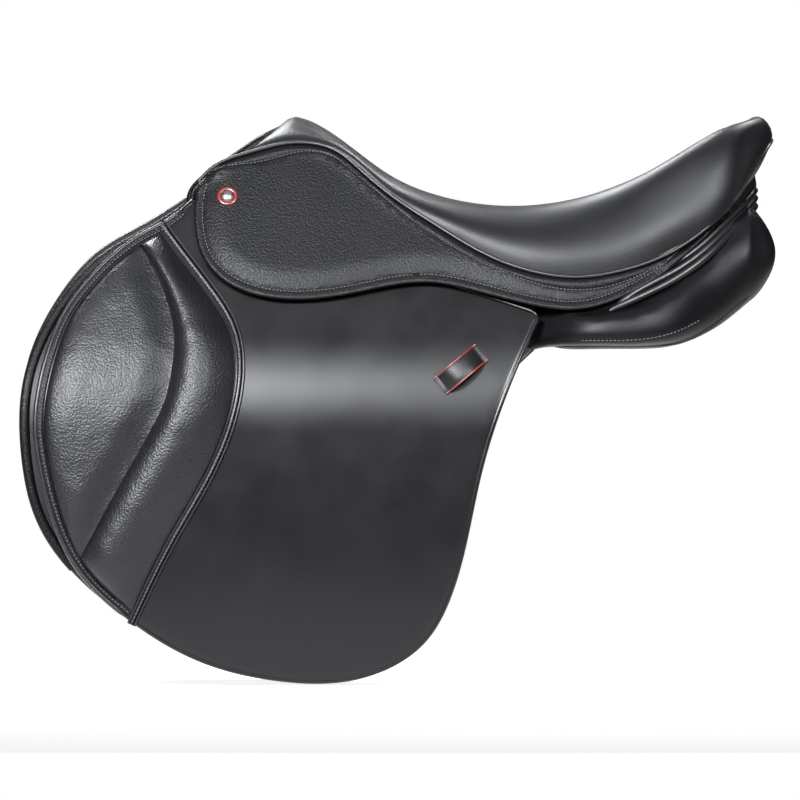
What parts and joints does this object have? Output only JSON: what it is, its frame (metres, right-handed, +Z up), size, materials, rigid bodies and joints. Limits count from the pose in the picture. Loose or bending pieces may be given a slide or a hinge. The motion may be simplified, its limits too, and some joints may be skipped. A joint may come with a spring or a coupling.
{
  "type": "english saddle",
  "caption": "Forward-cut jumping saddle with lifting flaps and skirts, padded knee blocks, flocked panels, stirrup bars and girth billets.",
  "frame": {"origin": "on the centre plane, at the level where the panels bear on a saddle rack, below the waist of the seat", "axes": "+X forward to the pommel, +Y to the horse's left, +Z up"},
  "size_m": [0.6211, 0.3284, 0.4659],
  "materials": {
    "seat_leather": "smooth fine-grained black, satin",
    "skirt_leather": "pebble-grained black, satin",
    "flap_leather": "smooth black, semi-gloss",
    "pad_leather": "padded pebble-grained black, satin",
    "sweat_leather": "grained black, satin",
    "panel_leather": "soft black, satin",
    "billet_leather": "bridle leather, black",
    "welt_leather": "rolled black, semi-gloss",
    "keeper_leather": "black with red painted edges",
    "foam": "plain foam",
    "webbing": "woven",
    "tree_wood": "laminated, varnished",
    "steel": "satin",
    "nail_metal": "polished",
    "red_enamel": "gloss"
  },
  "bodies": {
    "saddle": {"seat_cover": "seat_leather", "seat_foam": "foam", "head_plate": "steel", "seat_webbing": "webbing", "tree": "tree_wood", "bar_rivets": "steel", "gullet_lining": "panel_leather", "pommel_facing": "seat_leather", "cantle_facing": "seat_leather", "seat_welt_left": "welt_leather", "seat_welt_right": "welt_leather", "stirrup_bar_left": "steel", "stirrup_bar_right": "steel", "catch_pin_left": "steel", "catch_pin_right": "steel", "skirt_upper_left": "skirt_leather", "skirt_upper_right": "skirt_leather", "flap_top_left": "flap_leather", "flap_top_right": "flap_leather", "saddle_nail_left": "nail_metal", "saddle_nail_right": "nail_metal", "nail_ring_left": "red_enamel", "nail_ring_right": "red_enamel", "sweat_flap_left": "sweat_leather", "sweat_flap_right": "sweat_leather", "panel_left": "panel_leather", "panel_right": "panel_leather", "rear_gusset_left": "panel_leather", "rear_gusset_right": "panel_leather", "point_pocket_left": "sweat_leather", "point_pocket_right": "sweat_leather", "girth_web_left": "webbing", "girth_web_right": "webbing"},
    "flap_body_left": {"flap_left": "flap_leather", "knee_pad_left": "pad_leather", "knee_roll_left": "pad_leather", "pad_welt_left": "welt_leather", "strap_keeper_left": "keeper_leather"},
    "skirt_body_left": {"skirt_left": "skirt_leather"},
    "catch_body_left": {"thumb_catch_left": "steel"},
    "billet_front_body_left": {"billet_front_left": "billet_leather"},
    "billet_middle_body_left": {"billet_middle_left": "billet_leather"},
    "billet_rear_body_left": {"billet_rear_left": "billet_leather"},
    "guard_body_left": {"buckle_guard_left": "billet_leather"},
    "flap_body_right": {"flap_right": "flap_leather", "knee_pad_right": "pad_leather", "knee_roll_right": "pad_leather", "pad_welt_right": "welt_leather", "strap_keeper_right": "keeper_leather"},
    "skirt_body_right": {"skirt_right": "skirt_leather"},
    "catch_body_right": {"thumb_catch_right": "steel"},
    "billet_front_body_right": {"billet_front_right": "billet_leather"},
    "billet_middle_body_right": {"billet_middle_right": "billet_leather"},
    "billet_rear_body_right": {"billet_rear_right": "billet_leather"},
    "guard_body_right": {"buckle_guard_right": "billet_leather"}
  },
  "joints": [
    {"name": "flap_lift_left", "type": "hinge", "parent": "saddle", "child": "flap_body_left", "pos_m": [0.205, 0.08141, 0.117], "axis": [0.9336, -0.1682, 0.3164], "range_deg": [0, 80]},
    {"name": "skirt_lift_left", "type": "hinge", "parent": "flap_body_left", "child": "skirt_body_left", "pos_m": [0.205, 0.08141, 0.117], "axis": [0.9336, -0.1682, 0.3164], "range_deg": [0, 55]},
    {"name": "catch_flip_left", "type": "hinge", "parent": "saddle", "child": "catch_body_left", "pos_m": [0.09678, 0.09703, 0.06633], "axis": [0, 0.8829, 0.4695], "range_deg": [0, 75]},
    {"name": "billet_swing_middle_left", "type": "hinge", "parent": "saddle", "child": "billet_middle_body_left", "pos_m": [0.07, 0.1, 0.03], "axis": [0, 1, 0], "range_deg": [-8, 8]},
    {"name": "billet_swing_front_left", "type": "hinge", "parent": "saddle", "child": "billet_front_body_left", "pos_m": [0.105, 0.1, 0.03], "axis": [0, 1, 0], "range_deg": [-8, 8]},
    {"name": "billet_swing_rear_left", "type": "hinge", "parent": "saddle", "child": "billet_rear_body_left", "pos_m": [0.035, 0.1, 0.03], "axis": [0, 1, 0], "range_deg": [-8, 8]},
    {"name": "guard_slide_left", "type": "slide", "parent": "billet_middle_body_left", "child": "guard_body_left", "axis": [0, 0, -1], "range_m": [0, 0.06]},
    {"name": "flap_lift_right", "type": "hinge", "parent": "saddle", "child": "flap_body_right", "pos_m": [0.205, -0.08141, 0.117], "axis": [-0.9336, -0.1682, -0.3164], "range_deg": [0, 80]},
    {"name": "skirt_lift_right", "type": "hinge", "parent": "flap_body_right", "child": "skirt_body_right", "pos_m": [0.205, -0.08141, 0.117], "axis": [-0.9336, -0.1682, -0.3164], "range_deg": [0, 55]},
    {"name": "catch_flip_right", "type": "hinge", "parent": "saddle", "child": "catch_body_right", "pos_m": [0.09678, -0.09703, 0.06633], "axis": [0, 0.8829, -0.4695], "range_deg": [0, 75]},
    {"name": "billet_swing_middle_right", "type": "hinge", "parent": "saddle", "child": "billet_middle_body_right", "pos_m": [0.07, -0.1, 0.03], "axis": [0, 1, 0], "range_deg": [-8, 8]},
    {"name": "billet_swing_front_right", "type": "hinge", "parent": "saddle", "child": "billet_front_body_right", "pos_m": [0.105, -0.1, 0.03], "axis": [0, 1, 0], "range_deg": [-8, 8]},
    {"name": "billet_swing_rear_right", "type": "hinge", "parent": "saddle", "child": "billet_rear_body_right", "pos_m": [0.035, -0.1, 0.03], "axis": [0, 1, 0], "range_deg": [-8, 8]},
    {"name": "guard_slide_right", "type": "slide", "parent": "billet_middle_body_right", "child": "guard_body_right", "axis": [0, 0, -1], "range_m": [0, 0.06]}
  ],
  "couplings": [
    {"joint": "billet_swing_front_left", "follows": "billet_swing_middle_left", "ratio": 1},
    {"joint": "billet_swing_rear_left", "follows": "billet_swing_middle_left", "ratio": 1},
    {"joint": "billet_swing_front_right", "follows": "billet_swing_middle_right", "ratio": 1},
    {"joint": "billet_swing_rear_right", "follows": "billet_swing_middle_right", "ratio": 1}
  ]
}
